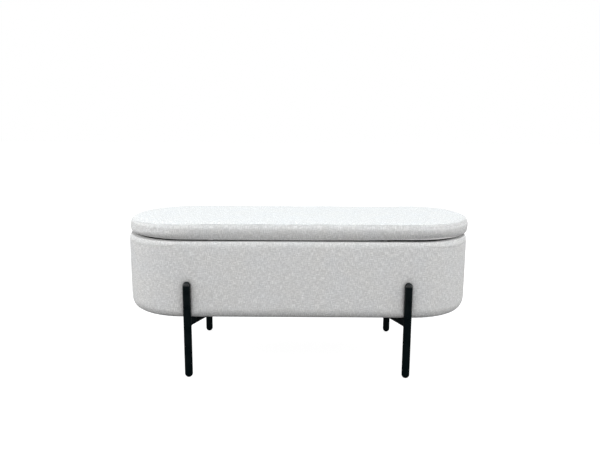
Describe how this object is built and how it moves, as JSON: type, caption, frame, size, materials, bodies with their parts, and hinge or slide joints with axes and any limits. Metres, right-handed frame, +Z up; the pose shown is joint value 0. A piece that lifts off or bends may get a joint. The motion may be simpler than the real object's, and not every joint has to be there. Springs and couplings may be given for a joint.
{
  "type": "storage bench",
  "caption": "Oval upholstered storage bench: a padded fabric box on round steel legs, with a hinged padded lid held open by folding stays.",
  "frame": {"origin": "on the floor, under the middle of the bench", "axes": "+X along the bench's length, +Y towards the hinge side at the back, +Z up"},
  "size_m": [1, 0.388, 0.4394],
  "materials": {
    "body_fabric": "woven, matt",
    "lid_fabric": "woven, matt",
    "lining": "non-woven, matt",
    "dust_cloth": "non-woven, matt",
    "foam": "open-cell foam, matt",
    "plywood": "raw, sanded",
    "black_steel": "black powder coat, satin",
    "black_plastic": "moulded, satin",
    "zinc_steel": "zinc plated",
    "bumper_rubber": "matt"
  },
  "bodies": {
    "base": {"bottom_board": "plywood", "front_wall": "plywood", "back_wall": "plywood", "left_end_wall": "plywood", "right_end_wall": "plywood", "wall_padding": "foam", "body_cover": "body_fabric", "cavity_lining": "lining", "dust_cover": "dust_cloth", "front_left_leg": "black_steel", "front_right_leg": "black_steel", "rear_left_leg": "black_steel", "rear_right_leg": "black_steel", "leg_caps": "black_plastic", "leg_feet": "black_plastic", "leg_inserts": "zinc_steel", "leg_bolts": "zinc_steel", "leg_washers": "zinc_steel", "left_leg_rail": "black_steel", "right_leg_rail": "black_steel", "rail_bolts": "zinc_steel", "rail_washers": "zinc_steel", "rail_nuts": "zinc_steel", "left_box_leaf": "zinc_steel", "right_box_leaf": "zinc_steel", "left_hinge_pin": "zinc_steel", "right_hinge_pin": "zinc_steel", "box_leaf_screws": "zinc_steel", "left_box_bracket": "zinc_steel", "right_box_bracket": "zinc_steel", "left_box_rivet": "zinc_steel", "right_box_rivet": "zinc_steel", "box_bracket_screws": "zinc_steel"},
    "lid": {"lid_board": "plywood", "lid_foam": "foam", "lid_top_cover": "lid_fabric", "lid_side_band": "lid_fabric", "lid_lining": "dust_cloth", "lid_bumpers": "bumper_rubber", "left_lid_leaf": "zinc_steel", "right_lid_leaf": "zinc_steel", "lid_leaf_screws": "zinc_steel", "left_lid_bracket": "zinc_steel", "right_lid_bracket": "zinc_steel", "left_lid_rivet": "zinc_steel", "right_lid_rivet": "zinc_steel", "lid_bracket_screws": "zinc_steel"},
    "left_lower_stay": {"left_lower_arm": "zinc_steel", "left_middle_rivet": "zinc_steel"},
    "right_lower_stay": {"right_lower_arm": "zinc_steel", "right_middle_rivet": "zinc_steel"},
    "left_upper_stay": {"left_upper_arm": "zinc_steel"},
    "right_upper_stay": {"right_upper_arm": "zinc_steel"}
  },
  "joints": [
    {"name": "lid_hinge", "type": "hinge", "parent": "base", "child": "lid", "pos_m": [0, 0.176, 0.3877], "axis": [-1, 0, 0], "range_deg": [0, 100]},
    {"name": "left_lower_pivot", "type": "hinge", "parent": "base", "child": "left_lower_stay", "pos_m": [-0.2837, 0.1375, 0.3277], "axis": [-1, 0, 0], "range_deg": [0, 100]},
    {"name": "left_upper_pivot", "type": "hinge", "parent": "lid", "child": "left_upper_stay", "pos_m": [-0.2814, 0.071, 0.3774], "axis": [-1, 0, 0], "range_deg": [-100, 0]},
    {"name": "right_lower_pivot", "type": "hinge", "parent": "base", "child": "right_lower_stay", "pos_m": [0.2837, 0.1375, 0.3277], "axis": [-1, 0, 0], "range_deg": [0, 100]},
    {"name": "right_upper_pivot", "type": "hinge", "parent": "lid", "child": "right_upper_stay", "pos_m": [0.2814, 0.071, 0.3774], "axis": [-1, 0, 0], "range_deg": [-100, 0]}
  ],
  "couplings": [
    {"joint": "left_lower_pivot", "follows": "lid_hinge", "ratio": 1},
    {"joint": "left_upper_pivot", "follows": "lid_hinge", "ratio": -1},
    {"joint": "right_lower_pivot", "follows": "lid_hinge", "ratio": 1},
    {"joint": "right_upper_pivot", "follows": "lid_hinge", "ratio": -1}
  ]
}
